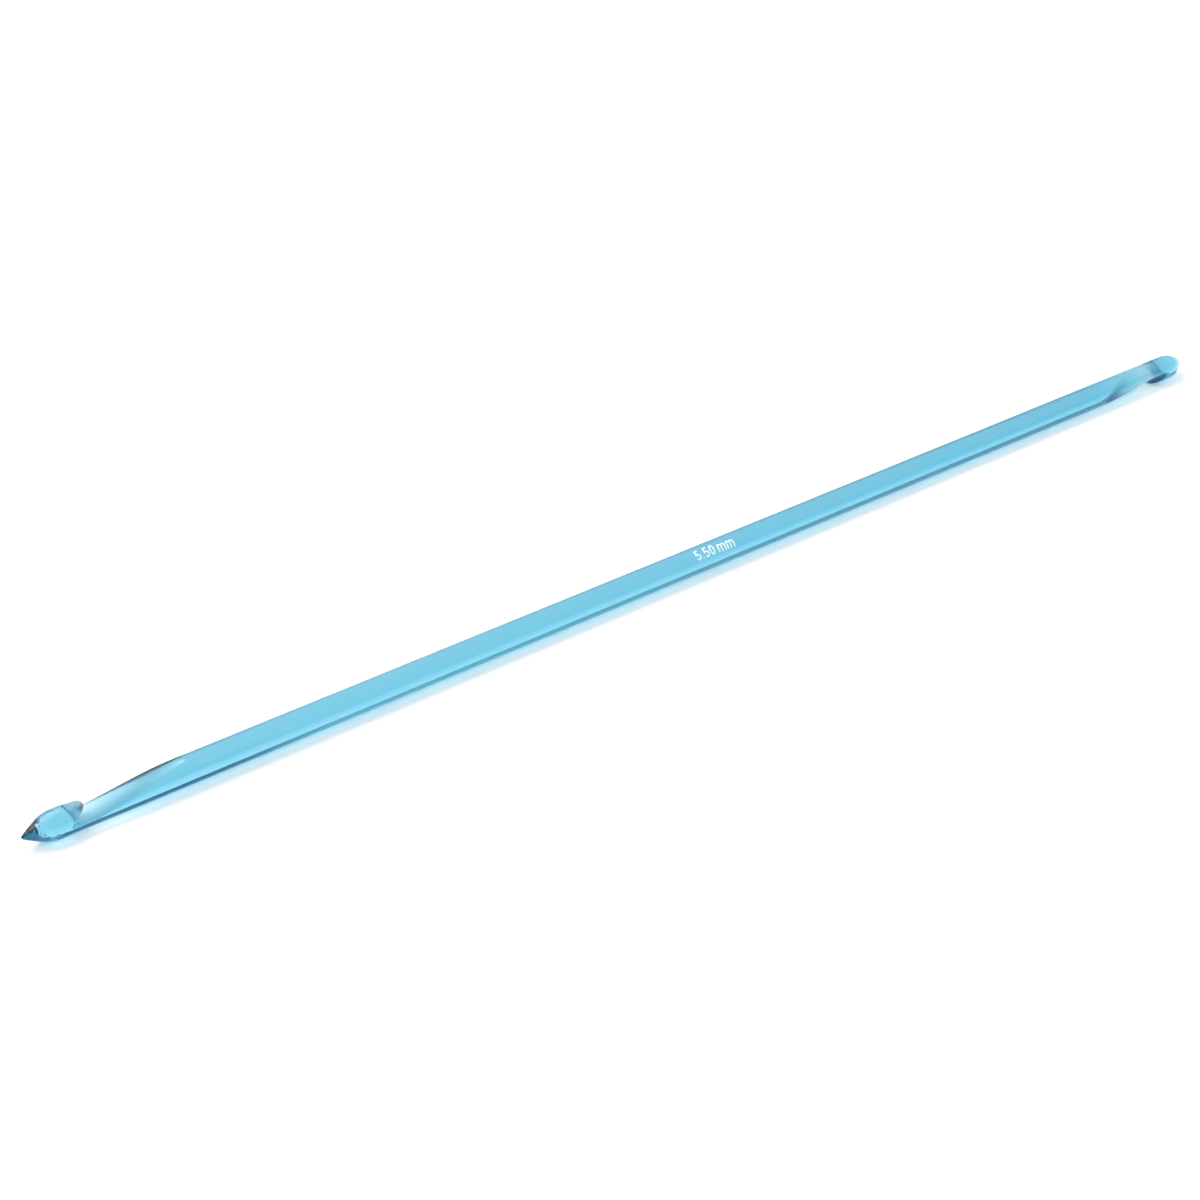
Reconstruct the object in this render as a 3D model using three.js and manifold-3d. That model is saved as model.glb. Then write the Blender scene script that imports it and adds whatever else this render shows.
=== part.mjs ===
// A double-ended tunisian crochet hook: one straight rod of clear blue acrylic with a hook head at each
// end, and its gauge printed in white ink at mid-length.
// Millimetres, +Z up. The rod lies along X on its lowest facet, with its middle over the origin.
// The near head is at -X, with its throat opening straight up, and the far head is at +X.

import * as THREE from 'three';
import { TessellateModifier } from 'three/addons/modifiers/TessellateModifier.js';
import { mergeVertices } from 'three/addons/utils/BufferGeometryUtils.js';
import Module from 'manifold-3d';

const wasm = await Module();
wasm.setup();

// Sizes of the rod, in millimetres
const HOOK_LENGTH = 300; // from tip to tip
const SHAFT_DIAMETER = 5.5; // across opposite facets
const SHAFT_FACETS = 24; // a multiple of four, so that one facet faces straight down

// Sizes of each pointed end
const POINT_HALF_ANGLE = 27; // degrees, from the axis to the side of the point
const NOSE_RADIUS = 0.2;
const SHOULDER_RADIUS = 8; // the arc that carries the point over into the shaft

// Sizes of each throat, the hollow that catches the yarn
const TIP_TO_LIP = 11.7; // from the tip to the edge of the lip
const LIP_DROOP = 0.5; // how far the lip's edge lies inside the shaft's surface
const LIP_DROOP_LENGTH = 5; // how far back from the edge the droop starts
const LIP_EDGE_RADIUS = 0.12;
const LIP_UNDERCUT = 50; // degrees that the lip's face leans back from square
const THROAT_DEPTH = 3.05; // from the shaft's surface down to the floor
const THROAT_ROOT_RADIUS = 0.6; // in the corner under the lip
const FLOOR_PAST_LIP = 1.5; // how far the level floor runs on past the lip's edge
const RAMP_ANGLE = 11.4; // degrees, from the floor back up to the shaft's surface
const RAMP_BLEND_RADIUS = 6; // where the floor turns into the ramp
const FAR_THROAT_TURN = 180; // degrees round the rod from the near throat to the far one

// Sizes of the printed gauge
const MARK_OFFSET = 3.1; // from the rod's middle to the middle of the mark
const MARK_TURN = 37; // degrees round the rod from straight up
const DIGIT_HEIGHT = 2.25;
const DIGIT_WIDTH = 1.24;
const LETTER_HEIGHT = 1.7;
const LETTER_WIDTH = 2;
const STROKE_WIDTH = 0.32;
const CHARACTER_GAP = 0.32;
const WORD_GAP = 0.75; // between the number and its unit
const INK_THICKNESS = 0.05;
const INK_CLEARANCE = 0.04; // between the ink and the corners of the facets

// Fineness of the curved surfaces
const ARC_STEPS = 5; // runs in each rounded corner, and in half of each larger arc
const STROKE_STEPS = 9; // runs in half of each curve of a character
const INK_STEP = 0.55; // longest edge of a character before it is bent round the rod
const OVERCUT = 0.5; // how far a cutting solid stands out of what it cuts

const shaftRadius = SHAFT_DIAMETER / 2;
const cornerRadius = shaftRadius / Math.cos(Math.PI / SHAFT_FACETS);
const radians = THREE.MathUtils.degToRad;

const acrylic = new THREE.MeshStandardMaterial({ color: 0x7dcde9, roughness: 0.08, metalness: 0 });
const whiteInk = new THREE.MeshStandardMaterial({ color: 0xf4fafb, roughness: 0.55, metalness: 0 });

// A closed mesh as a solid that can be joined and cut. Triangles that shrink to a line at a pole are left out.
function solidOf(geometry) {
  const bare = geometry.clone();
  bare.deleteAttribute('normal');
  bare.deleteAttribute('uv');
  const merged = mergeVertices(bare, 1e-4);
  const corners = [];
  for (let i = 0; i < merged.index.count; i += 3) {
    const [a, b, c] = merged.index.array.slice(i, i + 3);
    if (a !== b && b !== c && c !== a) corners.push(a, b, c);
  }
  return new wasm.Manifold(new wasm.Mesh({
    numProp: 3,
    vertProperties: new Float32Array(merged.attributes.position.array),
    triVerts: new Uint32Array(corners),
  }));
}

function geometryOf(solid) {
  const mesh = solid.getMesh();
  const geometry = new THREE.BufferGeometry();
  geometry.setAttribute('position', new THREE.BufferAttribute(mesh.vertProperties, mesh.numProp));
  geometry.setIndex(new THREE.BufferAttribute(mesh.triVerts, 1));
  geometry.computeVertexNormals();
  return geometry;
}

// A closed outline through the corners, each rounded by an arc of its own radius.
function roundedShape(corners) {
  const shape = new THREE.Shape();
  corners.forEach(({ at, radius = 0 }, i) => {
    const before = corners.at(i - 1).at.clone().sub(at).normalize();
    const after = corners[(i + 1) % corners.length].at.clone().sub(at).normalize();
    const halfAngle = Math.acos(before.dot(after)) / 2;
    const start = at.clone().addScaledVector(before, radius / Math.tan(halfAngle));
    if (i === 0) shape.moveTo(start.x, start.y);
    else shape.lineTo(start.x, start.y);
    if (radius > 0) {
      const middle = before.clone().add(after).normalize();
      const centre = at.clone().addScaledVector(middle, radius / Math.sin(halfAngle));
      const end = at.clone().addScaledVector(after, radius / Math.tan(halfAngle));
      const startAngle = start.clone().sub(centre).angle();
      const endAngle = end.clone().sub(centre).angle();
      shape.absarc(centre.x, centre.y, radius, startAngle, endAngle, before.cross(after) > 0);
    }
  });
  return shape;
}

// The outline of half the rod, from the middle of one pointed end to the other: x is the distance from the
// axis and y the place along the rod.
function rodOutline() {
  const slope = radians(POINT_HALF_ANGLE);
  const noseMiddle = NOSE_RADIUS;
  const noseEnd = noseMiddle - NOSE_RADIUS * Math.sin(slope);
  const pointEndRadius = shaftRadius - SHOULDER_RADIUS * (1 - Math.cos(slope));
  const pointEnd = noseEnd + (pointEndRadius - NOSE_RADIUS * Math.cos(slope)) / Math.tan(slope);
  const shoulderEnd = pointEnd + SHOULDER_RADIUS * Math.sin(slope);
  const arc = (middle, height, radius, from, to) => Array.from({ length: ARC_STEPS + 1 }, (_, i) => {
    const angle = from + ((to - from) * i) / ARC_STEPS;
    return [middle - radius * Math.sin(angle), height + radius * Math.cos(angle)];
  });
  const nose = arc(noseMiddle, 0, NOSE_RADIUS, Math.PI / 2, slope);
  const shoulder = arc(shoulderEnd, shaftRadius - SHOULDER_RADIUS, SHOULDER_RADIUS, slope, 0);
  const end = [...nose, ...shoulder];
  const toCorners = cornerRadius / shaftRadius;
  const near = end.map(([s, r]) => new THREE.Vector2(r * toCorners, s - HOOK_LENGTH / 2));
  const far = end.map(([s, r]) => new THREE.Vector2(r * toCorners, HOOK_LENGTH / 2 - s)).reverse();
  const outline = [...near, ...far];
  outline[0].x = 0;
  outline.at(-1).x = 0;
  return outline;
}

// The solid of air that makes the near throat, cut right across the rod. Its side outline is drawn with x
// as the distance from the tip and y as the height over the axis.
function throatCutter() {
  const floor = shaftRadius - THROAT_DEPTH;
  const top = shaftRadius + OVERCUT;
  const lipHeight = shaftRadius - LIP_DROOP;
  const droopStart = TIP_TO_LIP - LIP_DROOP_LENGTH;
  const root = TIP_TO_LIP - (lipHeight - floor) * Math.tan(radians(LIP_UNDERCUT));
  const rampStart = TIP_TO_LIP + FLOOR_PAST_LIP;
  const rampEnd = rampStart + (top - floor) / Math.tan(radians(RAMP_ANGLE));
  const outline = roundedShape([
    { at: new THREE.Vector2(droopStart - (OVERCUT * LIP_DROOP_LENGTH) / LIP_DROOP, top) },
    { at: new THREE.Vector2(TIP_TO_LIP, lipHeight), radius: LIP_EDGE_RADIUS },
    { at: new THREE.Vector2(root, floor), radius: THROAT_ROOT_RADIUS },
    { at: new THREE.Vector2(rampStart, floor), radius: RAMP_BLEND_RADIUS },
    { at: new THREE.Vector2(rampEnd, top) },
  ]);
  const depth = 2 * (cornerRadius + OVERCUT);
  const cutter = new THREE.ExtrudeGeometry(outline, { depth, bevelEnabled: false, curveSegments: ARC_STEPS });
  cutter.translate(0, 0, -depth / 2);
  cutter.rotateX(Math.PI / 2);
  cutter.translate(-HOOK_LENGTH / 2, 0, 0);
  return cutter;
}

function hookBody() {
  const rod = new THREE.LatheGeometry(rodOutline(), SHAFT_FACETS, Math.PI / SHAFT_FACETS);
  rod.rotateZ(-Math.PI / 2);
  const nearThroat = throatCutter();
  const farThroat = throatCutter();
  farThroat.rotateZ(Math.PI);
  farThroat.rotateX(radians(FAR_THROAT_TURN));
  const solid = solidOf(rod).subtract(solidOf(nearThroat)).subtract(solidOf(farThroat));
  const body = new THREE.Mesh(geometryOf(solid), acrylic);
  body.name = 'hook_body';
  return body;
}

// A stroke of even width along a centre line, with its corners mitred.
function strokeShape(path) {
  const line = path.getPoints(STROKE_STEPS);
  const left = [];
  const right = [];
  line.forEach((point, i) => {
    const into = point.clone().sub(line[Math.max(i - 1, 0)]).normalize();
    const out = line[Math.min(i + 1, line.length - 1)].clone().sub(point).normalize();
    const along = into.clone().add(out).normalize();
    const across = new THREE.Vector2(-along.y, along.x);
    const steady = i === 0 ? out : into;
    const reach = STROKE_WIDTH / 2 / along.dot(steady);
    left.push(point.clone().addScaledVector(across, reach));
    right.unshift(point.clone().addScaledVector(across, -reach));
  });
  return new THREE.Shape([...left, ...right]);
}

// Each character's shapes are drawn from its lower left corner, where its ink begins.
function digitFive() {
  const inset = STROKE_WIDTH / 2;
  const middle = DIGIT_WIDTH / 2;
  const bowlRadius = DIGIT_HEIGHT * 0.25;
  const bowlStart = radians(150);
  const bowlWidth = middle - inset;
  const bowlHeight = inset + bowlRadius;
  const flag = new THREE.Path();
  flag.moveTo(DIGIT_WIDTH - inset, DIGIT_HEIGHT - inset);
  flag.lineTo(2 * inset, DIGIT_HEIGHT - inset);
  flag.lineTo(inset, bowlHeight + bowlRadius * Math.sin(bowlStart));
  const bowl = new THREE.Path();
  bowl.absellipse(middle, bowlHeight, bowlWidth, bowlRadius, bowlStart, -bowlStart, true);
  return [strokeShape(flag), strokeShape(bowl)];
}

function digitZero() {
  const ring = new THREE.Shape();
  ring.absellipse(DIGIT_WIDTH / 2, DIGIT_HEIGHT / 2, DIGIT_WIDTH / 2, DIGIT_HEIGHT / 2, 0, 2 * Math.PI);
  const hole = new THREE.Path();
  const innerWidth = DIGIT_WIDTH / 2 - STROKE_WIDTH;
  const innerHeight = DIGIT_HEIGHT / 2 - STROKE_WIDTH;
  hole.absellipse(DIGIT_WIDTH / 2, DIGIT_HEIGHT / 2, innerWidth, innerHeight, 0, 2 * Math.PI);
  ring.holes.push(hole);
  return [ring];
}

function point() {
  const dot = new THREE.Path();
  dot.moveTo(STROKE_WIDTH / 2, 0);
  dot.lineTo(STROKE_WIDTH / 2, STROKE_WIDTH);
  return [strokeShape(dot)];
}

function letterM() {
  const inset = STROKE_WIDTH / 2;
  const archRadius = (LETTER_WIDTH - STROKE_WIDTH) / 4;
  const archHeight = LETTER_HEIGHT - inset - archRadius;
  const stem = new THREE.Path();
  stem.moveTo(inset, 0);
  stem.lineTo(inset, LETTER_HEIGHT);
  const arches = [0, 1].map((place) => {
    const middle = inset + archRadius * (1 + 2 * place);
    const arch = new THREE.Path();
    arch.absarc(middle, archHeight, archRadius, Math.PI, 0, true);
    arch.lineTo(middle + archRadius, 0);
    return arch;
  });
  return [stem, ...arches].map(strokeShape);
}

const CHARACTERS = [
  { name: 'mark_1_digit_five', shapes: digitFive(), width: DIGIT_WIDTH, gap: CHARACTER_GAP },
  { name: 'mark_2_point', shapes: point(), width: STROKE_WIDTH, gap: CHARACTER_GAP },
  { name: 'mark_3_digit_five', shapes: digitFive(), width: DIGIT_WIDTH, gap: CHARACTER_GAP },
  { name: 'mark_4_digit_zero', shapes: digitZero(), width: DIGIT_WIDTH, gap: WORD_GAP },
  { name: 'mark_5_letter_m', shapes: letterM(), width: LETTER_WIDTH, gap: CHARACTER_GAP },
  { name: 'mark_6_letter_m', shapes: letterM(), width: LETTER_WIDTH, gap: 0 },
];

// One character as a film of ink: its shapes are joined flat, cut into small faces and bent round the rod,
// so that y becomes the way round it.
function inkFilm(shapes) {
  const flat = shapes
    .map((shape) => new THREE.ExtrudeGeometry(shape, {
      depth: INK_THICKNESS,
      bevelEnabled: false,
      curveSegments: 2 * STROKE_STEPS,
    }))
    .map(solidOf)
    .reduce((joined, stroke) => joined.add(stroke));
  const fine = mergeVertices(new TessellateModifier(INK_STEP, 8).modify(geometryOf(flat)), 1e-5);
  const inner = cornerRadius + INK_CLEARANCE;
  const place = fine.attributes.position;
  for (let i = 0; i < place.count; i += 1) {
    const angle = (DIGIT_HEIGHT / 2 - place.getY(i)) / inner;
    const radius = inner + place.getZ(i);
    place.setXYZ(i, place.getX(i), -radius * Math.sin(angle), radius * Math.cos(angle));
  }
  return fine;
}

function sizeMark() {
  const mark = new THREE.Group();
  let along = 0;
  for (const { name, shapes, width, gap } of CHARACTERS) {
    const character = new THREE.Mesh(inkFilm(shapes), whiteInk);
    character.name = name;
    character.position.x = along;
    mark.add(character);
    along += width + gap;
  }
  mark.position.x = MARK_OFFSET - along / 2;
  mark.rotation.x = radians(MARK_TURN);
  return mark;
}

const hook = new THREE.Group();
hook.add(hookBody(), sizeMark());
hook.position.z = shaftRadius;

export default hook;
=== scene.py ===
"""A double-ended tunisian crochet hook of clear blue acrylic, lying on white paper."""
import math

import bpy
import numpy as np
from bpy.props import FloatProperty, FloatVectorProperty, PointerProperty
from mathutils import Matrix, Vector


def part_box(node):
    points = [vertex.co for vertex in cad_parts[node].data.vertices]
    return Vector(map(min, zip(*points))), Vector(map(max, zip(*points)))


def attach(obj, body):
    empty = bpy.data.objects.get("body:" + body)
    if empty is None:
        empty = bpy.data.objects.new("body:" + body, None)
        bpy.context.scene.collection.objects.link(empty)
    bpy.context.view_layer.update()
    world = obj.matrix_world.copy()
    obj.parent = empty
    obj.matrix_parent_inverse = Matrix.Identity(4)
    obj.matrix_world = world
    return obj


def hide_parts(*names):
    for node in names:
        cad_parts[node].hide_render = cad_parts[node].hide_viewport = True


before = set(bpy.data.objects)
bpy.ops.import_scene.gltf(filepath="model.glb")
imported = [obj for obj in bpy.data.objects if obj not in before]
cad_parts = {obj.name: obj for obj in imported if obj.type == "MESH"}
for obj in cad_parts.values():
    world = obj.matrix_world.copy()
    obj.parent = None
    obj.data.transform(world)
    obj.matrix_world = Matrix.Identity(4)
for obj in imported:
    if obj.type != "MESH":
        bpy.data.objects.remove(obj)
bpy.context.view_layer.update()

bl_info = {
    "name": "Tunisian Crochet Hook",
    "version": (1, 0, 0),
    "blender": (4, 5, 0),
    "location": "3D View > Sidebar > Crochet Hook",
    "description": "Builds a clear acrylic double-ended hook with its printed gauge, on a paper floor",
    "category": "Add Mesh",
}

MM = 0.001
BODY_LOW, BODY_HIGH = (Vector(corner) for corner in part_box("hook_body"))

# Fineness of the body's surface: points round each section, and rows in each stretch from the tip
COLUMNS = 160
NOSE_ROWS = 24
POINT_ROWS = 48
LIP_ROWS = 104
ROOT_ROWS = 24
RAMP_ROWS = 92
SHAFT_ROWS = 8

# Where the stretches of rows meet, and how the slanted sections lie, in shares of the shaft's radius
NOSE_REACH = 0.7
LIP_MARGIN = 0.4
FULL_LEAN_BEFORE = 0.3
SECTION_SINK = 0.55

# How much more the sections lean than the lip's face, as a slope, and how the surface is searched: from
# this many radii out, by this many halvings. Its slope is then measured over the step
EXTRA_LEAN = 0.45
SEARCH_REACH = 2.2
HALVINGS = 40
SLOPE_STEP = 0.002 * MM

# The print: where the bowl of a 5 starts, the spacing of points on a straight stroke in stroke widths, the
# steps in each curve, and the points across the crown of a stroke
BOWL_START = math.radians(150)
POINT_SPACING = 0.75
BOWL_STEPS = 40
ZERO_STEPS = 64
ARCH_STEPS = 24
CROWN_POINTS = 13

# Acrylic bends light by this much, and buffing leaves it almost smooth
ACRYLIC_IOR = 1.49
BUFFED_ROUGHNESS = (0.015, 0.045)

# Buffing waves, about 6 mm long and 1.5 mm wide, and hair lines 0.15 mm apart that run round the rod
WAVE_SCALE = (170, 650, 650)
WAVE_DEPTH = 0.05 * MM
HAIR_LINE_SCALE = (6600, 250, 250)
HAIR_LINE_DEPTH = 0.01 * MM

# Milling leaves the ramp matte and the lip's face less so, until it fades into the polished shaft
MILLED_ATTRIBUTE = "milled_share"
MILLED_ROUGHNESS = 0.72
LIP_MILLED_SHARE = 0.5
ROOT_BLEND = 1 * MM
MILLED_PAST_LIP = 17 * MM
POLISHED_FROM_LIP = 22 * MM

# Turning leaves the point a little dull and dented, until it fades towards the lip. The dents are about
# 0.6 mm across
TURNED_ATTRIBUTE = "turned_share"
TURNED_ROUGHNESS = 0.03
POLISHED_BEFORE_LIP = 7 * MM
DENT_SCALE = 1600.0
DENT_DEPTH = 0.12 * MM

# The ink's grain is about 0.05 mm. Its thin specks are about 0.2 mm, and the last value is how white they
# are next to the rest
INK_GRAIN_SCALE = 20000.0
INK_GRAIN_DEPTH = 0.005 * MM
INK_SPECK_SCALE = 5000.0
THIN_INK = 0.92

# How often light may bounce about inside the clear rod, whose heads return it many times
LIGHT_BOUNCES = 32

# How much steady white the paper adds to its lit part, and how far it reaches
PAPER_LIFT = 0.16
FLOOR_REACH = 3.0

# The room round the table, by the share of the direction that runs along the hook: a grey corner on the
# far left, a bright wall, a dark stretch to the right of straight behind, and a paler wall beyond it
ROOM_COLOURS = [
    (-0.6, "#6F8FA1"),
    (-0.35, "#F6F8F9"),
    (0.06, "#F6F8F9"),
    (0.24, "#00709A"),
    (0.41, "#00709A"),
    (0.46, "#A8D8E6"),
    (0.72, "#8CBBCD"),
]

# Above and below the wall lie a haze at its foot, the paper going on to the horizon, and a pale ceiling.
# Each has the sines of the heights at which it starts to show and is reached, and its colour
ROOM_BANDS = [
    (0.08, 0.0, "#C8E4EE"),
    (0.0, -0.002, "#F5F8FA"),
    (0.4, 0.6, "#FFFFFF"),
]

# The soft lamp stands behind the hook and shines down over it
LAMP_DISTANCE = 1200 * MM
LAMP_HEIGHT_ANGLE = math.radians(61)
LAMP_SIZE = (1400 * MM, 650 * MM)
LAMP_SHIFT = -370 * MM

# The camera stands where the photograph was taken from
CAMERA_PLACE = (-296.6 * MM, -326.6 * MM, 245.0 * MM)
CAMERA_HEADING = math.radians(39.736)
CAMERA_PITCH = math.radians(-29.704)
CAMERA_LENS = 75.845
CAMERA_SENSOR = 36.0


def linear(code):
    """An sRGB hex colour as linear red, green and blue."""
    share = np.array([int(code[i:i + 2], 16) for i in (1, 3, 5)]) / 255
    return tuple(np.where(share <= 0.04045, share / 12.92, ((share + 0.055) / 1.055) ** 2.4).tolist())


def length(name, description, millimetres):
    """A length property, given in millimetres and kept in metres."""
    return FloatProperty(
        name=name,
        description=description,
        default=millimetres * MM,
        min=0.0,
        soft_max=0.5,
        precision=5,
        subtype="DISTANCE",
        unit="LENGTH",
    )


def angle(name, description, degrees):
    """An angle property, given in degrees and kept in radians."""
    return FloatProperty(
        name=name,
        description=description,
        default=math.radians(degrees),
        subtype="ANGLE",
        unit="ROTATION",
    )


def colour(name, description, code):
    """A colour property, given as an sRGB hex value."""
    return FloatVectorProperty(
        name=name,
        description=description,
        default=linear(code),
        min=0.0,
        max=1.0,
        size=3,
        subtype="COLOR",
    )


class HookBodySizes(bpy.types.PropertyGroup):
    """Sizes of the rod and of the hook head at each of its ends."""

    hook_length: length("Length", "From tip to tip", (BODY_HIGH.x - BODY_LOW.x) / MM)
    shaft_diameter: length("Shaft diameter", "Gauge of the round shaft", (BODY_HIGH.z - BODY_LOW.z) / MM)
    point_half_angle: angle("Point half angle", "From the axis to the side of the point", 27)
    nose_radius: length("Nose radius", "Rounding of the very tip", 0.2)
    shoulder_radius: length("Shoulder radius", "Arc that carries the point over into the shaft", 8)
    tip_to_lip: length("Tip to lip", "From the tip to the edge of the lip", 11.7)
    lip_droop: length("Lip droop", "How far the lip's edge lies inside the shaft's surface", 0.5)
    lip_droop_length: length("Lip droop length", "How far back from the edge the droop starts", 5)
    lip_undercut: angle("Lip undercut", "How far the lip's face leans back from square", 50)
    lip_bow: length("Lip bow", "How far the lip's face falls back towards its sides", 1)
    edge_softness: length("Edge softness", "Band in which each cut edge is polished round", 0.22)
    throat_depth: length("Throat depth", "From the shaft's surface down to the floor", 3.05)
    buffed_softness: length("Buffed softness", "How much wider the round band is up the ramp", 0.9)
    buffed_length: length("Buffed length", "From the lip's edge to where the round band is widest", 9)
    root_softness: length("Root softness", "Band in which the corner under the lip is round", 0.6)
    floor_past_lip: length("Floor past lip", "How far the level floor runs on past the lip's edge", 1.5)
    bend_softness: length("Bend softness", "Band in which the floor turns into the ramp", 0.3)
    ramp_angle: angle("Ramp angle", "From the floor back up to the shaft's surface", 11.4)
    far_throat_turn: angle("Far throat turn", "Round the rod from the near throat to the far one", 180)


class SizeMarkSizes(bpy.types.PropertyGroup):
    """Sizes of the printed gauge."""

    mark_offset: length("Offset", "From the rod's middle to the middle of the mark", 3.1)
    mark_turn: angle("Turn", "Round the rod from straight up", 37)
    digit_height: length("Digit height", "Height of the digits", 2.25)
    digit_width: length("Digit width", "Width of the digits", 1.24)
    letter_height: length("Letter height", "Height of the letters", 1.7)
    letter_width: length("Letter width", "Width of the letters", 2)
    stroke_width: length("Stroke width", "Width of each printed stroke", 0.32)
    character_gap: length("Character gap", "Between two characters", 0.32)
    word_gap: length("Word gap", "Between the number and its unit", 0.75)
    ink_thickness: length("Ink thickness", "How proud the ink stands of the acrylic", 0.018)
    ink_sink: length("Ink sink", "How deep the ink keys into the acrylic", 0.006)


class HookFinish(bpy.types.PropertyGroup):
    """Colours of the acrylic and of the ink."""

    tint: colour("Tint", "Colour that white light takes on in the acrylic", "#00D1E5")
    tint_density: FloatProperty(
        name="Tint density",
        description="How strongly the acrylic colours the light, per metre",
        default=310.0,
        min=0.0,
        soft_max=1000.0,
    )
    ink: colour("Ink", "Colour of the printed gauge", "#FBFDFD")


class StageSettings(bpy.types.PropertyGroup):
    """Paper and lamp."""

    paper: colour("Paper", "Colour of the floor", "#F2F2F2")
    lamp_power: FloatProperty(
        name="Lamp power",
        description="Power of the soft lamp behind the hook",
        default=10.3,
        min=0.0,
        subtype="POWER",
        unit="POWER",
    )


def turned_rod(sizes, s, u, v):
    """Signed field of the rod before its throat is cut: below zero inside it.

    s is the distance from the tip, u the place across and v the height towards the throat's mouth.
    The rod is a cone with a round nose that eases into the shaft:
        outer(s) = soft minimum of the root of ((s tan a) squared + 2 nose s) and the shaft's radius.
    The field is the distance from the axis less outer(s). Near the lip it droops by the drop times the
    square of the cosine of the turn from the throat's mouth, and the drop has run out by four times its
    depth past the lip.
    """
    radius = sizes.shaft_diameter / 2
    slope = math.tan(sizes.point_half_angle)
    shoulder = 4 * sizes.shoulder_radius * (1 / math.cos(sizes.point_half_angle / 2) - 1)
    ahead = np.maximum(s, 0)
    outer = soft_minimum(np.sqrt((ahead * slope) ** 2 + 2 * sizes.nose_radius * ahead), radius, shoulder)

    lip = sizes.tip_to_lip + sizes.lip_droop * math.tan(sizes.lip_undercut)
    drop = sizes.lip_droop * eased(lip - sizes.lip_droop_length, lip, s)
    drop = drop * (1 - eased(lip + sizes.lip_droop, lip + 4 * sizes.lip_droop, s))
    reach = np.hypot(u, v)
    return reach - outer + drop * (np.maximum(v, 0) / np.maximum(reach, sizes.nose_radius)) ** 2


def milled_throat(sizes, s, u, v):
    """Signed field of the throat's air: above zero in the air.

    It lies above the floor, a slanted plane, and ahead of the lip's face, a slanted and bowed one:
        floor = (v - height of the floor at s) cos ramp,
        face = (s - lip + bow (u / radius) squared) cos undercut - (v - radius) sin undercut,
        air = soft minimum of both.
    """
    radius = sizes.shaft_diameter / 2
    lip = sizes.tip_to_lip + sizes.lip_droop * math.tan(sizes.lip_undercut)
    floor_height = radius - sizes.throat_depth
    ramp_start = sizes.tip_to_lip + sizes.floor_past_lip
    ramp = floor_height + (s - ramp_start) * math.tan(sizes.ramp_angle)
    floor = (v - soft_maximum(ramp, floor_height, sizes.bend_softness)) * math.cos(sizes.ramp_angle)
    bowed = lip - sizes.lip_bow * (u / radius) ** 2
    face = (s - bowed) * math.cos(sizes.lip_undercut) - (v - radius) * math.sin(sizes.lip_undercut)
    return soft_minimum(floor, face, sizes.root_softness)


def hook_shape(sizes, s, u, v):
    """Signed field of one hook head: the soft maximum of the rod's and the air's, below zero inside it.

    The band in which the cut edge is round widens up the ramp, where buffing took it down.
    """
    return soft_maximum(turned_rod(sizes, s, u, v), milled_throat(sizes, s, u, v), edge_band(sizes, s))


def edge_band(sizes, s):
    """Band in which the cut edge is round, wider up the ramp."""
    buffed = eased(sizes.tip_to_lip, sizes.tip_to_lip + sizes.buffed_length, s)
    return sizes.edge_softness + sizes.buffed_softness * buffed


def milled_share(sizes, s, u, v):
    """How strongly milling shows: 1 on the ramp, less under the lip, fading out up the ramp.

    Across a cut edge it goes from 0 to 1 as the air's field passes the rod's.
    """
    lip = sizes.tip_to_lip
    lead = milled_throat(sizes, s, u, v) - turned_rod(sizes, s, u, v)
    band = edge_band(sizes, s)
    cut = eased(-band, band, lead)
    past_root = eased(lip, lip + ROOT_BLEND, s)
    return cut * (LIP_MILLED_SHARE + (1 - LIP_MILLED_SHARE) * past_root) * (
        1 - eased(lip + MILLED_PAST_LIP, lip + POLISHED_FROM_LIP, s)
    )


def turned_share(sizes, s):
    """How strongly turning shows: 1 on the point, fading out towards the lip."""
    return 1 - eased(sizes.tip_to_lip - POLISHED_BEFORE_LIP, sizes.tip_to_lip, s)


def soft_maximum(a, b, band):
    """The larger of a and b, plus a quarter of the band times the square of how deep they lie in it."""
    share = np.maximum(band - np.abs(a - b), 0) / band
    return np.maximum(a, b) + share * share * band / 4


def soft_minimum(a, b, band):
    """The smaller of a and b, rounded off in the same way."""
    return -soft_maximum(-a, -b, band)


def eased(start, end, x):
    """0 before start and 1 after end, with 3 t squared less 2 t cubed between them."""
    t = np.clip((x - start) / (end - start), 0, 1)
    return t * t * (3 - 2 * t)


def ramp_end(sizes):
    """Place along the rod where the ramp's round edge has run out into the shaft."""
    rise = sizes.throat_depth + sizes.edge_softness + sizes.buffed_softness
    return sizes.tip_to_lip + sizes.floor_past_lip + rise / math.tan(sizes.ramp_angle)


def head_rows(sizes):
    """Places of the rows along one half of the hook, closest where the lip and the root are."""
    radius = sizes.shaft_diameter / 2
    throat = sizes.tip_to_lip - radius * math.tan(sizes.lip_undercut)
    lip_start = throat - LIP_MARGIN * radius - sizes.lip_bow
    lip_end = throat + LIP_MARGIN * radius
    root_end = throat + radius
    nose_end = NOSE_REACH * radius
    nose = nose_end * (1 - np.cos(np.linspace(0, math.pi / 2, NOSE_ROWS + 1)))
    stretches = [
        nose,
        np.linspace(nose_end, lip_start, POINT_ROWS + 1)[1:],
        np.linspace(lip_start, lip_end, LIP_ROWS + 1)[1:],
        np.linspace(lip_end, root_end, ROOT_ROWS + 1)[1:],
        np.linspace(root_end, ramp_end(sizes), RAMP_ROWS + 1)[1:],
        np.linspace(ramp_end(sizes), sizes.hook_length / 2, SHAFT_ROWS + 1)[1:],
    ]
    return np.concatenate(stretches)


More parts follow.
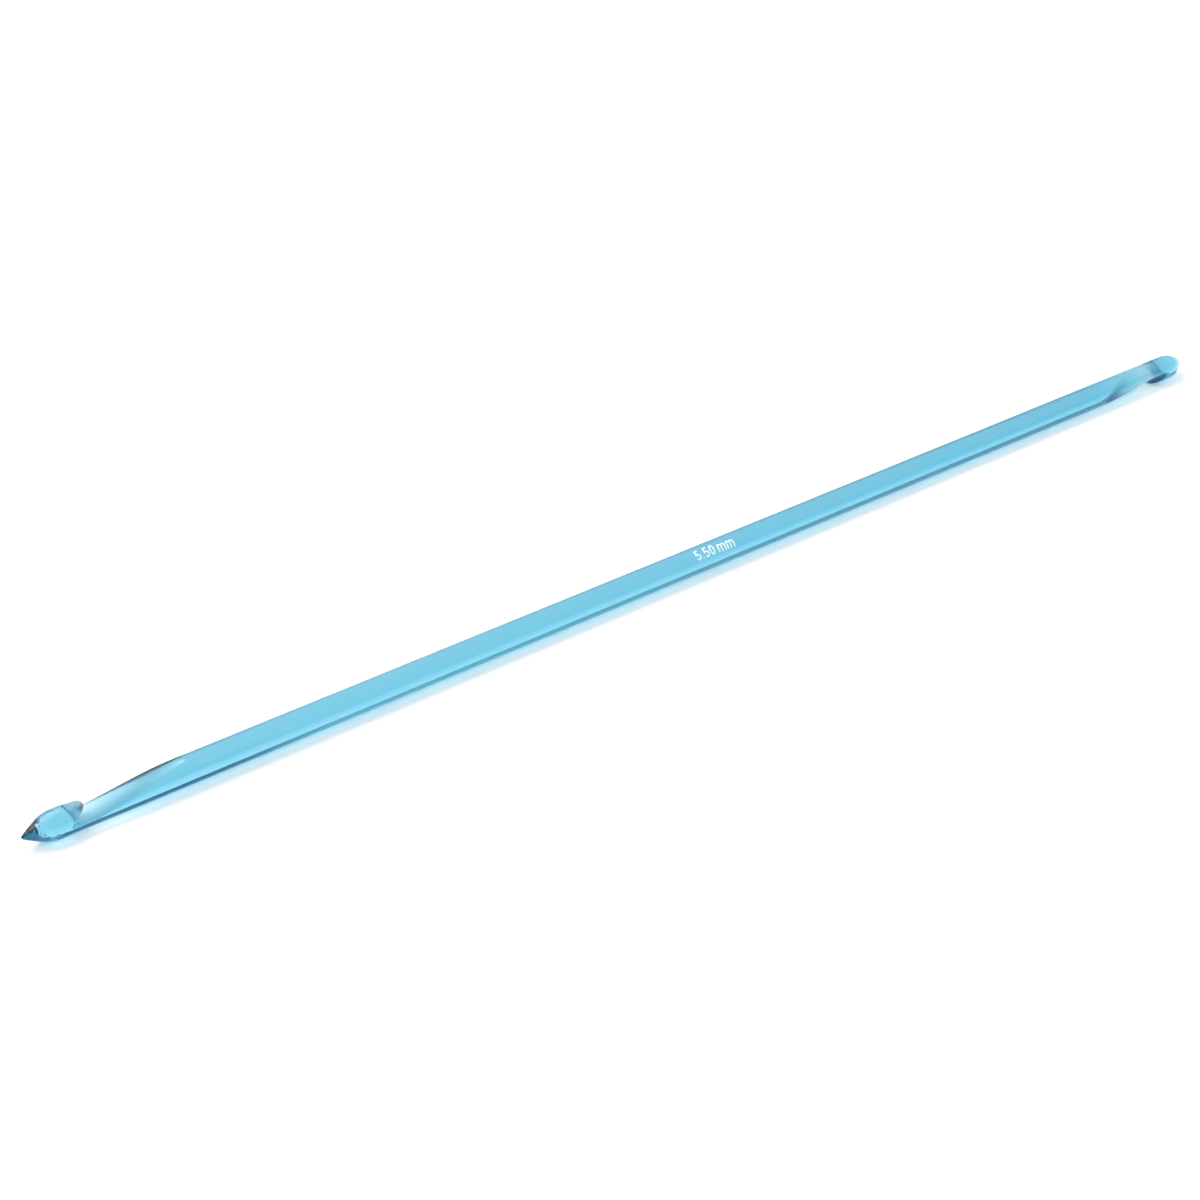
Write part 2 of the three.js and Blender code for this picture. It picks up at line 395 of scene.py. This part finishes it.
def head_surface(sizes, turns):
    """Points s, u, v of one hook head and its half of the shaft, with one column at each turn.

    Each row is a slanted section. Its rays leave a centre that sinks below the throat's floor, and a point
    at height v lies v times the lean further from the tip, so that each ray crosses the surface once, also
    on the undercut lip. The crossing is found by halving: inside moves the near end out, outside the far
    end in.
    """
    radius = sizes.shaft_diameter / 2
    throat = sizes.tip_to_lip - radius * math.tan(sizes.lip_undercut)
    row, turn = np.meshgrid(head_rows(sizes), turns, indexing="ij")
    steepest = math.tan(sizes.lip_undercut) + EXTRA_LEAN
    full_lean = throat - FULL_LEAN_BEFORE * radius
    upright = eased(throat + radius, ramp_end(sizes), row)
    lean = steepest * eased(0, full_lean, row) * (1 - upright)
    sink = SECTION_SINK * radius * eased(radius, full_lean, row) * (1 - upright)

    def place(reach):
        """Point of each ray at this distance from its centre."""
        u = reach * np.sin(turn)
        v = reach * np.cos(turn) - sink
        return row + lean * v, u, v

    inner = np.zeros_like(row)
    outer = np.full_like(row, SEARCH_REACH * radius)
    for _ in range(HALVINGS):
        middle = (inner + outer) / 2
        inside = hook_shape(sizes, *place(middle)) < 0
        inner = np.where(inside, middle, inner)
        outer = np.where(inside, outer, middle)
    return place(inner)


def head_normals(sizes, s, u, v):
    """Outward directions: the slope of the field along each axis, by central differences."""
    slopes = [
        hook_shape(sizes, s + SLOPE_STEP, u, v) - hook_shape(sizes, s - SLOPE_STEP, u, v),
        hook_shape(sizes, s, u + SLOPE_STEP, v) - hook_shape(sizes, s, u - SLOPE_STEP, v),
        hook_shape(sizes, s, u, v + SLOPE_STEP) - hook_shape(sizes, s, u, v - SLOPE_STEP),
    ]
    slopes = np.stack(slopes, -1)
    return slopes / np.linalg.norm(slopes, axis=-1, keepdims=True)


def round_the_rod(turn):
    """Direction from the axis at a turn: straight up at 0, and towards the near side as it grows."""
    return np.array([0, -math.sin(turn), math.cos(turn)])


def hook_half(sizes, columns, end, throat_turn):
    """Points, normals and finishes of the half at one end: -1 for the near end and 1 for the far one.

    A point lies at end times (half the length - s) along X, plus u across and v towards the throat.
    """
    s, u, v = head_surface(sizes, columns - throat_turn)
    normals = head_normals(sizes, s, u, v)
    along = np.array([1.0, 0, 0])
    across = round_the_rod(throat_turn + math.pi / 2)
    up = round_the_rod(throat_turn)
    axes = np.stack([-end * along, across, up])
    centre = np.array([0, 0, sizes.shaft_diameter / 2])
    tip = centre + end * along * sizes.hook_length / 2
    finishes = np.stack([milled_share(sizes, s, u, v), turned_share(sizes, s)], -1)
    return tip + np.stack([s, u, v], -1) @ axes, normals @ axes, finishes


def joined_halves(near, far):
    """Values of both halves in the order of the points: a pole, the rows between, and the other pole.

    The first row of each half is its tip, and both halves end on the same middle row.
    """
    rows = np.concatenate([near[1:], far[-2:0:-1]])
    return np.concatenate([near[0, :1], rows.reshape(-1, rows.shape[-1]), far[0, :1]])


def closed_faces(rows, columns):
    """Faces of a closed grid whose first and last rows are single points, with their corners outwards.

    Point 0 is the first pole, point 1 + i columns + j is column j of row i, and the last is the other pole.
    """
    i, j = np.meshgrid(np.arange(rows - 1), np.arange(columns), indexing="ij")
    here = 1 + i * columns + j
    beside = 1 + i * columns + (j + 1) % columns
    quads = np.stack([here, beside, beside + columns, here + columns], -1).reshape(-1, 4)
    ring = np.arange(columns)
    after = (ring + 1) % columns
    last = 1 + (rows - 1) * columns
    first_cap = np.stack([np.zeros(columns, int), after + 1, ring + 1], -1)
    last_cap = np.stack([np.full(columns, last + columns), last + ring, last + after], -1)
    return quads.tolist() + first_cap.tolist() + last_cap.tolist()


def add_piece(name, points, faces, material, normals=None):
    """A smooth mesh object at the origin, with its place in its mesh."""
    mesh = bpy.data.meshes.new(name)
    mesh.from_pydata(points.tolist(), [], faces)
    mesh.polygons.foreach_set("use_smooth", np.ones(len(mesh.polygons), bool))
    if normals is not None:
        mesh.normals_split_custom_set_from_vertices(normals.tolist())
    mesh.materials.append(material)
    piece = bpy.data.objects.new(name, mesh)
    bpy.context.scene.collection.objects.link(piece)
    return piece


def add_node(tree, kind, settings=None, links=None):
    """Adds a node, sets its attributes and sockets, and links outputs of other nodes to its sockets."""
    node = tree.nodes.new(kind)
    for name, value in (settings or {}).items():
        if name in node.inputs:
            node.inputs[name].default_value = value
        else:
            setattr(node, name, value)
    for name, output in (links or {}).items():
        tree.links.new(output, node.inputs[name])
    return node


def math_node(tree, operation, *values):
    """Output of a node that works on numbers or on other outputs, kept between 0 and 1."""
    node = add_node(tree, "ShaderNodeMath", {"operation": operation, "use_clamp": True})
    for socket, value in zip(node.inputs, values):
        if isinstance(value, float):
            socket.default_value = value
        else:
            tree.links.new(value, socket)
    return node.outputs["Value"]


def new_material(name):
    """An empty material and its node tree."""
    material = bpy.data.materials.new(name)
    material.use_nodes = True
    material.node_tree.nodes.clear()
    return material, material.node_tree


def polished_cast_acrylic(finish):
    """Cast acrylic, tinted right through, turned and milled at its ends and buffed to a clear gloss.

    The eye gets glass-like clearness with a blue that deepens with the path through it, a soft waviness
    from the buffing, hair lines that run round the rod, and a frosted throat and dented point where the
    tools cut.
    """
    material, tree = new_material("polished_cast_acrylic")
    place = add_node(tree, "ShaderNodeTexCoord").outputs["Object"]
    wave_place = add_node(tree, "ShaderNodeMapping", {"Scale": WAVE_SCALE}, {"Vector": place})
    waves = add_node(
        tree, "ShaderNodeTexNoise", {"Scale": 1.0, "Detail": 2.0, "Roughness": 0.45},
        {"Vector": wave_place.outputs["Vector"]},
    )
    line_place = add_node(tree, "ShaderNodeMapping", {"Scale": HAIR_LINE_SCALE}, {"Vector": place})
    lines = add_node(
        tree, "ShaderNodeTexNoise", {"Scale": 1.0, "Detail": 3.0, "Roughness": 0.6},
        {"Vector": line_place.outputs["Vector"]},
    )
    wavy = add_node(
        tree, "ShaderNodeBump", {"Strength": 0.08, "Distance": WAVE_DEPTH},
        {"Height": waves.outputs["Fac"]},
    )
    lined = add_node(
        tree, "ShaderNodeBump", {"Strength": 0.03, "Distance": HAIR_LINE_DEPTH},
        {"Height": lines.outputs["Fac"], "Normal": wavy.outputs["Normal"]},
    )
    smoothest, roughest = BUFFED_ROUGHNESS
    buffed = add_node(
        tree, "ShaderNodeMapRange",
        {"From Min": 0.35, "From Max": 0.7, "To Min": smoothest, "To Max": roughest},
        {"Value": lines.outputs["Fac"]},
    )
    milled = add_node(tree, "ShaderNodeAttribute", {"attribute_name": MILLED_ATTRIBUTE})
    turned = add_node(tree, "ShaderNodeAttribute", {"attribute_name": TURNED_ATTRIBUTE})
    dents = add_node(tree, "ShaderNodeTexNoise", {"Scale": DENT_SCALE, "Detail": 1.0}, {"Vector": place})
    height = math_node(tree, "MULTIPLY", dents.outputs["Fac"], turned.outputs["Fac"])
    dented = add_node(
        tree, "ShaderNodeBump", {"Strength": 1.0, "Distance": DENT_DEPTH},
        {"Height": height, "Normal": lined.outputs["Normal"]},
    )
    roughness = buffed.outputs["Result"]
    roughness = math_node(tree, "MULTIPLY_ADD", turned.outputs["Fac"], TURNED_ROUGHNESS, roughness)
    roughness = math_node(tree, "MULTIPLY_ADD", milled.outputs["Fac"], MILLED_ROUGHNESS, roughness)
    surface = add_node(
        tree, "ShaderNodeBsdfPrincipled",
        {"Base Color": (1, 1, 1, 1), "IOR": ACRYLIC_IOR, "Transmission Weight": 1.0},
        {"Roughness": roughness, "Normal": dented.outputs["Normal"]},
    )
    depth = add_node(
        tree, "ShaderNodeVolumeAbsorption",
        {"Color": (*finish.tint, 1), "Density": finish.tint_density},
    )
    add_node(
        tree, "ShaderNodeOutputMaterial", None,
        {"Surface": surface.outputs["BSDF"], "Volume": depth.outputs["Volume"]},
    )
    return material


def pad_printed_ink(finish):
    """White two-part ink, stamped on with a silicone pad.

    The eye gets a flat, nearly opaque white that is a touch thinner in specks, with a faint grain.
    """
    material, tree = new_material("pad_printed_ink")
    place = add_node(tree, "ShaderNodeTexCoord").outputs["Object"]
    grain = add_node(
        tree, "ShaderNodeTexNoise", {"Scale": INK_GRAIN_SCALE, "Detail": 2.0}, {"Vector": place},
    )
    specks = add_node(
        tree, "ShaderNodeTexNoise", {"Scale": INK_SPECK_SCALE, "Detail": 1.0}, {"Vector": place},
    )
    thin = tuple(THIN_INK * share for share in finish.ink)
    cover = add_node(
        tree, "ShaderNodeMapRange", {"From Min": 0.3, "From Max": 0.55}, {"Value": specks.outputs["Fac"]},
    )
    shade = add_node(
        tree, "ShaderNodeMix", {"data_type": "RGBA"}, {"Factor": cover.outputs["Result"]},
    )
    shade.inputs["A"].default_value = (*thin, 1)
    shade.inputs["B"].default_value = (*finish.ink, 1)
    bump = add_node(
        tree, "ShaderNodeBump", {"Strength": 0.3, "Distance": INK_GRAIN_DEPTH},
        {"Height": grain.outputs["Fac"]},
    )
    surface = add_node(
        tree, "ShaderNodeBsdfPrincipled", {"Roughness": 0.5, "IOR": 1.5},
        {"Base Color": shade.outputs["Result"], "Normal": bump.outputs["Normal"]},
    )
    add_node(tree, "ShaderNodeOutputMaterial", None, {"Surface": surface.outputs["BSDF"]})
    return material


def straight(start, end, spacing):
    """Points along a line, from start to just before end."""
    start, end = np.array(start), np.array(end)
    steps = max(round(np.linalg.norm(end - start) / spacing), 1)
    return start + (end - start) * (np.arange(steps) / steps)[:, None]


def curved(centre, half_width, half_height, start, end, steps):
    """Points along part of an ellipse: centre + (half width cos t, half height sin t)."""
    t = np.linspace(start, end, steps + 1)
    return np.array(centre) + np.stack([half_width * np.cos(t), half_height * np.sin(t)], -1)


def digit_five(sizes):
    """Strokes of a 5: a flag with a square corner that runs on into an open bowl."""
    inset = sizes.stroke_width / 2
    top = sizes.digit_height - inset
    bowl = sizes.digit_height / 4
    middle = sizes.digit_width / 2
    bowl_top = inset + bowl + bowl * math.sin(BOWL_START)
    spacing = POINT_SPACING * sizes.stroke_width
    flag = [
        straight((sizes.digit_width - inset, top), (2 * inset, top), spacing),
        straight((2 * inset, top), (inset, bowl_top), spacing),
        np.array([[inset, bowl_top]]),
    ]
    arc = curved((middle, inset + bowl), middle - inset, bowl, BOWL_START, -BOWL_START, BOWL_STEPS)
    return [(np.concatenate(flag), False), (arc, False)]


def digit_zero(sizes):
    """Stroke of a 0: one closed ellipse."""
    inset = sizes.stroke_width / 2
    centre = (sizes.digit_width / 2, sizes.digit_height / 2)
    ring = curved(centre, centre[0] - inset, centre[1] - inset, 0, 2 * math.pi, ZERO_STEPS)
    return [(ring[:-1], True)]


def decimal_point(sizes):
    """Stroke of a point: a square as wide as a stroke."""
    inset = sizes.stroke_width / 2
    return [(np.array([[inset, 0], [inset, inset], [inset, sizes.stroke_width]]), False)]


def letter_m(sizes):
    """Strokes of an m: a stem and two arches."""
    inset = sizes.stroke_width / 2
    arch = (sizes.letter_width - sizes.stroke_width) / 4
    height = sizes.letter_height - inset - arch
    spacing = POINT_SPACING * sizes.stroke_width
    stem = straight((inset, 0), (inset, sizes.letter_height + spacing), spacing)
    strokes = [(stem, False)]
    for middle in (inset + arch, inset + 3 * arch):
        top = curved((middle, height), arch, arch, math.pi, 0, ARCH_STEPS)
        leg = straight((middle + arch, height), (middle + arch, -spacing), spacing)
        strokes.append((np.concatenate([top, leg[1:]]), False))
    return strokes


def ink_stroke(sizes, path, looped):
    """Points and faces of one stroke of ink: a low, closed section carried along a flat path.

    The section's place across is c and its height h, with a crown of thickness times the fourth root of
    (1 - c to the fourth) and a flat back that is sunk into the acrylic. Each point of the path moves
    along its own square direction, lengthened at a corner by the mitre.
    """
    before = np.roll(path, 1, axis=0)
    after = np.roll(path, -1, axis=0)
    if not looped:
        before[0] = 2 * path[0] - path[1]
        after[-1] = 2 * path[-1] - path[-2]
    into = path - before
    out = after - path
    into /= np.linalg.norm(into, axis=1, keepdims=True)
    out /= np.linalg.norm(out, axis=1, keepdims=True)
    along = into + out
    along /= np.linalg.norm(along, axis=1, keepdims=True)
    square = np.stack([-along[:, 1], along[:, 0]], -1) / np.sum(along * out, axis=1, keepdims=True)

    t = np.linspace(0, math.pi, CROWN_POINTS)
    across = np.concatenate([np.cos(t), [-1, 1]])
    crown = np.power(np.maximum(1 - np.cos(t) ** 4, 0), 0.25) * sizes.ink_thickness
    height = np.concatenate([crown, [-sizes.ink_sink, -sizes.ink_sink]])
    flat = path[:, None] + square[:, None] * (across * sizes.stroke_width / 2)[None, :, None]
    height = np.broadcast_to(height, flat.shape[:2])
    points = np.concatenate([flat, height[..., None]], -1)

    count, section = points.shape[:2]
    i, j = np.meshgrid(np.arange(count if looped else count - 1), np.arange(section), indexing="ij")
    here = i * section + j
    there = (i + 1) % count * section + j
    quads = np.stack([here, there, there - j + (j + 1) % section, here - j + (j + 1) % section], -1)
    faces = quads.reshape(-1, 4)[:, ::-1].tolist()
    if not looped:
        faces.append(list(range(section)))
        faces.append(list(range((count - 1) * section, count * section))[::-1])
    return points.reshape(-1, 3), faces


def character(sizes, radius, strokes, left):
    """Points and faces of one character, bent round the rod, whose axis lies one radius up.

    x becomes the place along the rod, and y the turn: mark turn + (half the digit height - y) / radius.
    """
    points, faces = [], []
    count = 0
    for path, looped in strokes:
        stroke, corners = ink_stroke(sizes, path, looped)
        points.append(stroke)
        faces += [[count + corner for corner in face] for face in corners]
        count += len(stroke)
    x, y, height = np.concatenate(points).T
    turn = sizes.mark_turn + (sizes.digit_height / 2 - y) / radius
    reach = radius + height
    place = [left + x, -reach * np.sin(turn), radius + reach * np.cos(turn)]
    return np.stack(place, -1), faces


class HOOK_OT_add_body(bpy.types.Operator):
    """Add the acrylic rod with a hook head at each end"""

    bl_idname = "hook.add_body"
    bl_label = "Add Hook Body"

    def execute(self, context):
        sizes = context.scene.hook_body
        columns = np.arange(COLUMNS) * 2 * math.pi / COLUMNS
        near = hook_half(sizes, columns, -1, 0)
        far = hook_half(sizes, columns, 1, sizes.far_throat_turn)
        points, normals, finishes = (joined_halves(*pair) for pair in zip(near, far))
        normals[0] = (-1, 0, 0)
        normals[-1] = (1, 0, 0)
        faces = closed_faces(len(points) // COLUMNS, COLUMNS)
        material = polished_cast_acrylic(context.scene.hook_finish)
        piece = add_piece("acrylic_hook", points, faces, material, normals)
        for name, share in zip((MILLED_ATTRIBUTE, TURNED_ATTRIBUTE), finishes.T):
            attribute = piece.data.attributes.new(name, "FLOAT", "POINT")
            attribute.data.foreach_set("value", share.astype(np.float32))
        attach(piece, "root")
        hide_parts("hook_body")
        return {"FINISHED"}


class HOOK_OT_add_size_mark(bpy.types.Operator):
    """Add the gauge, printed in white ink, one piece for each character"""

    bl_idname = "hook.add_size_mark"
    bl_label = "Add Size Mark"

    def execute(self, context):
        sizes = context.scene.hook_mark
        radius = context.scene.hook_body.shaft_diameter / 2
        material = pad_printed_ink(context.scene.hook_finish)
        gap = sizes.character_gap
        characters = [
            ("mark_1_digit_five", digit_five(sizes), sizes.digit_width, gap),
            ("mark_2_point", decimal_point(sizes), sizes.stroke_width, gap),
            ("mark_3_digit_five", digit_five(sizes), sizes.digit_width, gap),
            ("mark_4_digit_zero", digit_zero(sizes), sizes.digit_width, sizes.word_gap),
            ("mark_5_letter_m", letter_m(sizes), sizes.letter_width, gap),
            ("mark_6_letter_m", letter_m(sizes), sizes.letter_width, 0),
        ]
        whole = sum(width + space for _, _, width, space in characters)
        left = sizes.mark_offset - whole / 2
        for node, strokes, width, space in characters:
            points, faces = character(sizes, radius, strokes, left)
            piece = add_piece(node.replace("mark", "ink"), points, faces, material)
            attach(piece, "root")
            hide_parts(node)
            left += width + space
        return {"FINISHED"}


def white_paper(stage):
    """Uncoated white card that the camera, the gloss and the clear acrylic all see as pure white.

    The lit part keeps the hook's shadow, and a steady part lifts the rest to white.
    """
    material, tree = new_material("white_paper")
    rays = add_node(tree, "ShaderNodeLightPath")
    seen = math_node(tree, "ADD", rays.outputs["Is Camera Ray"], rays.outputs["Is Glossy Ray"])
    seen = math_node(tree, "ADD", seen, rays.outputs["Is Transmission Ray"])
    steady = math_node(tree, "MULTIPLY", seen, PAPER_LIFT)
    lit = add_node(tree, "ShaderNodeBsdfDiffuse", {"Color": (*stage.paper, 1)})
    lift = add_node(tree, "ShaderNodeEmission", None, {"Strength": steady})
    both = add_node(tree, "ShaderNodeAddShader")
    tree.links.new(lit.outputs["BSDF"], both.inputs[0])
    tree.links.new(lift.outputs["Emission"], both.inputs[1])
    add_node(tree, "ShaderNodeOutputMaterial", None, {"Surface": both.outputs["Shader"]})
    return material


def surroundings():
    """A plain room: its wall changes from left to right, between white paper and a pale ceiling."""
    world = bpy.data.worlds.new("studio")
    bpy.context.scene.world = world
    world.use_nodes = True
    tree = world.node_tree
    tree.nodes.clear()
    direction = add_node(tree, "ShaderNodeTexCoord").outputs["Generated"]
    parts = add_node(tree, "ShaderNodeSeparateXYZ", None, {"Vector": direction})
    turned = add_node(
        tree, "ShaderNodeMapRange", {"From Min": -1.0, "From Max": 1.0}, {"Value": parts.outputs["X"]},
    )
    wall = add_node(tree, "ShaderNodeValToRGB", None, {"Fac": turned.outputs["Result"]})
    wall.color_ramp.interpolation = "EASE"
    while len(wall.color_ramp.elements) < len(ROOM_COLOURS):
        wall.color_ramp.elements.new(0.5)
    for element, (share, code) in zip(wall.color_ramp.elements, ROOM_COLOURS):
        element.position = (share + 1) / 2
        element.color = (*linear(code), 1)

    colour = wall.outputs["Color"]
    for start, reached, code in ROOM_BANDS:
        share = add_node(
            tree, "ShaderNodeMapRange",
            {"interpolation_type": "SMOOTHSTEP", "From Min": start, "From Max": reached},
            {"Value": parts.outputs["Z"]},
        )
        mixed = add_node(tree, "ShaderNodeMix", {"data_type": "RGBA"}, {"Factor": share.outputs["Result"]})
        tree.links.new(colour, mixed.inputs["A"])
        mixed.inputs["B"].default_value = (*linear(code), 1)
        colour = mixed.outputs["Result"]
    sky = add_node(tree, "ShaderNodeBackground", None, {"Color": colour})
    add_node(tree, "ShaderNodeOutputWorld", None, {"Surface": sky.outputs["Background"]})


def soft_lamp(stage):
    """A broad lamp over the far side of the hook."""
    lamp = bpy.data.lights.new("softbox", "AREA")
    lamp.shape = "RECTANGLE"
    lamp.size, lamp.size_y = LAMP_SIZE
    lamp.energy = stage.lamp_power
    softbox = bpy.data.objects.new("softbox", lamp)
    bpy.context.scene.collection.objects.link(softbox)
    towards = Vector((0, math.cos(LAMP_HEIGHT_ANGLE), math.sin(LAMP_HEIGHT_ANGLE)))
    softbox.location = towards * LAMP_DISTANCE + Vector((LAMP_SHIFT, 0, 0))
    softbox.rotation_euler = towards.to_track_quat("Z", "Y").to_euler()


def photo_camera():
    """The camera at the photograph's place, heading and pitch."""
    lens = bpy.data.cameras.new("camera")
    lens.sensor_width = CAMERA_SENSOR
    lens.lens = CAMERA_LENS
    lens.clip_start = 10 * MM
    camera = bpy.data.objects.new("camera", lens)
    bpy.context.scene.collection.objects.link(camera)
    camera.location = CAMERA_PLACE
    camera.rotation_euler = (math.pi / 2 + CAMERA_PITCH, 0, -CAMERA_HEADING)
    bpy.context.scene.camera = camera


class HOOK_OT_add_stage(bpy.types.Operator):
    """Add the paper floor, the lamp, the surroundings and the camera"""

    bl_idname = "hook.add_stage"
    bl_label = "Add Stage"

    def execute(self, context):
        stage = context.scene.hook_stage
        reach = FLOOR_REACH
        corners = np.array([[-reach, -reach, 0], [reach, -reach, 0], [reach, reach, 0], [-reach, reach, 0]])
        floor = add_piece("paper_floor", corners, [[0, 1, 2, 3]], white_paper(stage))
        surroundings()
        soft_lamp(stage)
        photo_camera()
        context.scene.view_settings.view_transform = "Standard"
        cycles = context.scene.cycles
        cycles.max_bounces = cycles.glossy_bounces = cycles.transmission_bounces = LIGHT_BOUNCES
        return {"FINISHED"}


class HOOK_PT_panel(bpy.types.Panel):
    """Sizes, colours and steps of the hook"""

    bl_idname = "HOOK_PT_panel"
    bl_label = "Crochet Hook"
    bl_space_type = "VIEW_3D"
    bl_region_type = "UI"
    bl_category = "Crochet Hook"

    def draw(self, context):
        for label, settings, operator in (
            ("Body", context.scene.hook_body, "hook.add_body"),
            ("Size mark", context.scene.hook_mark, "hook.add_size_mark"),
            ("Finish", context.scene.hook_finish, None),
            ("Stage", context.scene.hook_stage, "hook.add_stage"),
        ):
            box = self.layout.box()
            box.label(text=label)
            for name in settings.__annotations__:
                box.prop(settings, name)
            if operator:
                box.operator(operator)


CLASSES = (
    HookBodySizes,
    SizeMarkSizes,
    HookFinish,
    StageSettings,
    HOOK_OT_add_body,
    HOOK_OT_add_size_mark,
    HOOK_OT_add_stage,
    HOOK_PT_panel,
)


def register():
    """Adds the classes, and the settings to the scene."""
    for kind in CLASSES:
        bpy.utils.register_class(kind)
    bpy.types.Scene.hook_body = PointerProperty(type=HookBodySizes)
    bpy.types.Scene.hook_mark = PointerProperty(type=SizeMarkSizes)
    bpy.types.Scene.hook_finish = PointerProperty(type=HookFinish)
    bpy.types.Scene.hook_stage = PointerProperty(type=StageSettings)


def unregister():
    """Takes the settings and the classes away again."""
    for name in ("hook_body", "hook_mark", "hook_finish", "hook_stage"):
        delattr(bpy.types.Scene, name)
    for kind in reversed(CLASSES):
        bpy.utils.unregister_class(kind)


def main():
    """Builds the hook on its stage."""
    register()
    bpy.ops.hook.add_stage()
    bpy.ops.hook.add_body()
    bpy.ops.hook.add_size_mark()


if __name__ == "__main__":
    main()
